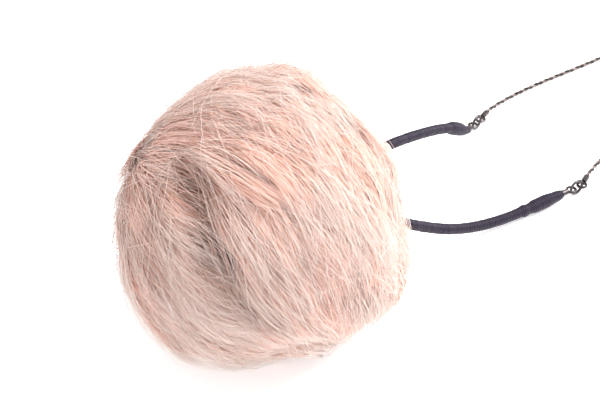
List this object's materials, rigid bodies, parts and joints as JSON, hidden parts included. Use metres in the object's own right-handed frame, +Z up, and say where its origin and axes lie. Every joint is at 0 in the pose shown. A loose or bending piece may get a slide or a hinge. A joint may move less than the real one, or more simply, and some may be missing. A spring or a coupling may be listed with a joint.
{
  "type": "lavalier microphone",
  "caption": "Neck-worn wireless lavalier microphone in a long-haired fur ball windshield, hung on a thread-whipped cord with rings, twisted ropes and a breakaway clasp.",
  "frame": {"origin": "on the table, at the centre of the flat the fur ball rests on, straight below the ball's centre", "axes": "+X along the laid-out neck cord towards its nape clasp, +Y to the wearer's left, +Z up"},
  "size_m": [0.2745, 0.08, 0.078],
  "materials": {
    "shell_plastic": "fine spark-eroded satin black moulding",
    "cap_plastic": "satin moulding",
    "steel": "bright machined steel",
    "dark_metal": "blackened steel wire",
    "rope_metal": "dark twisted metallic cord",
    "grille_metal": "anodised",
    "rubber": "soft black rubber",
    "board": "solder-masked laminate",
    "chip": "moulded chip",
    "ceramic": "ceramic antenna",
    "battery_foil": "pouch foil",
    "pad_foam": "thin adhesive foam",
    "led": "clear resin",
    "lens": "frosted light pipe",
    "button": "polished",
    "mesh": "woven acoustic mesh",
    "film": "metallised film",
    "foam": "open-cell foam",
    "knit": "knitted backing",
    "fur": "long soft pile, peach with cream guard hairs",
    "elastic": "covered elastic",
    "whipping": "dark purple-navy twisted thread, tightly whipped",
    "brass": "brass",
    "magnet": "nickel-plated magnet"
  },
  "bodies": {
    "pod": {"upper_shell": "shell_plastic", "lower_shell": "shell_plastic", "end_cap": "cap_plastic", "shell_screws": "steel", "seam_gasket": "rubber", "circuit_board": "board", "battery": "battery_foil", "battery_pad": "pad_foam", "charging_port": "steel", "radio_shield": "steel", "signal_chips": "chip", "antenna": "ceramic", "tact_switch": "chip", "status_led": "led", "status_lens": "lens", "capsule_boot": "rubber", "capsule_can": "grille_metal", "capsule_diaphragm": "film", "capsule_backplate": "brass", "capsule_insulator": "cap_plastic", "capsule_circuit": "board", "acoustic_mesh": "mesh", "grille_cap": "grille_metal", "arm_pins": "steel"},
    "button": {"power_button": "button", "switch_plunger": "chip"},
    "windshield": {"foam_core": "foam", "fur_backing": "knit", "fur_pile": "fur", "hem_elastic": "elastic"},
    "left_arm": {"left_arm_core": "dark_metal", "left_arm_whipping": "whipping"},
    "left_link": {"left_link_ring": "dark_metal"},
    "left_rope": {"left_rope_ferrule": "dark_metal", "left_rope_front": "rope_metal"},
    "left_nape": {"left_rope_back": "rope_metal", "left_clasp_sleeve": "dark_metal", "left_clasp_magnet": "magnet"},
    "right_arm": {"right_arm_core": "dark_metal", "right_arm_whipping": "whipping"},
    "right_link": {"right_link_ring": "dark_metal"},
    "right_rope": {"right_rope_ferrule": "dark_metal", "right_rope_front": "rope_metal"},
    "right_nape": {"right_rope_back": "rope_metal", "right_clasp_sleeve": "dark_metal", "right_clasp_magnet": "magnet"}
  },
  "joints": [
    {"name": "windshield_slide", "type": "slide", "parent": "pod", "child": "windshield", "axis": [-0.9272, 0, 0.3746], "range_m": [0, 0.064]},
    {"name": "button_press", "type": "slide", "parent": "pod", "child": "button", "axis": [-0.9272, 0, 0.3746], "range_m": [0, 0.0004], "stiffness_N_per_m": 400},
    {"name": "left_arm_swing", "type": "hinge", "parent": "pod", "child": "left_arm", "pos_m": [0.02689, 0.009, 0.02714], "axis": [0.3746, 0, 0.9272], "range_deg": [0, 18]},
    {"name": "left_ring_swing", "type": "hinge", "parent": "left_arm", "child": "left_link", "pos_m": [0.11003, 0.02245, 0.0027], "axis": [0, 0, 1], "range_deg": [0, 40]},
    {"name": "left_rope_lift", "type": "hinge", "parent": "left_link", "child": "left_rope", "pos_m": [0.1122, 0.0228, 0.0027], "axis": [0.1597, -0.9872, 0], "range_deg": [0, 50]},
    {"name": "left_rope_bend", "type": "hinge", "parent": "left_rope", "child": "left_nape", "pos_m": [0.17286, 0.02235, 0.0008], "axis": [0, 0, 1], "range_deg": [0, 35]},
    {"name": "right_arm_swing", "type": "hinge", "parent": "pod", "child": "right_arm", "pos_m": [0.02689, -0.009, 0.02714], "axis": [-0.3746, 0, -0.9272], "range_deg": [0, 18]},
    {"name": "right_ring_swing", "type": "hinge", "parent": "right_arm", "child": "right_link", "pos_m": [0.10702, -0.02068, 0.0027], "axis": [0, 0, -1], "range_deg": [0, 40]},
    {"name": "right_rope_lift", "type": "hinge", "parent": "right_link", "child": "right_rope", "pos_m": [0.1092, -0.021, 0.0027], "axis": [-0.1443, -0.9895, 0], "range_deg": [0, 50]},
    {"name": "right_rope_bend", "type": "hinge", "parent": "right_rope", "child": "right_nape", "pos_m": [0.17147, -0.01484, 0.0008], "axis": [0, 0, -1], "range_deg": [0, 35]}
  ]
}
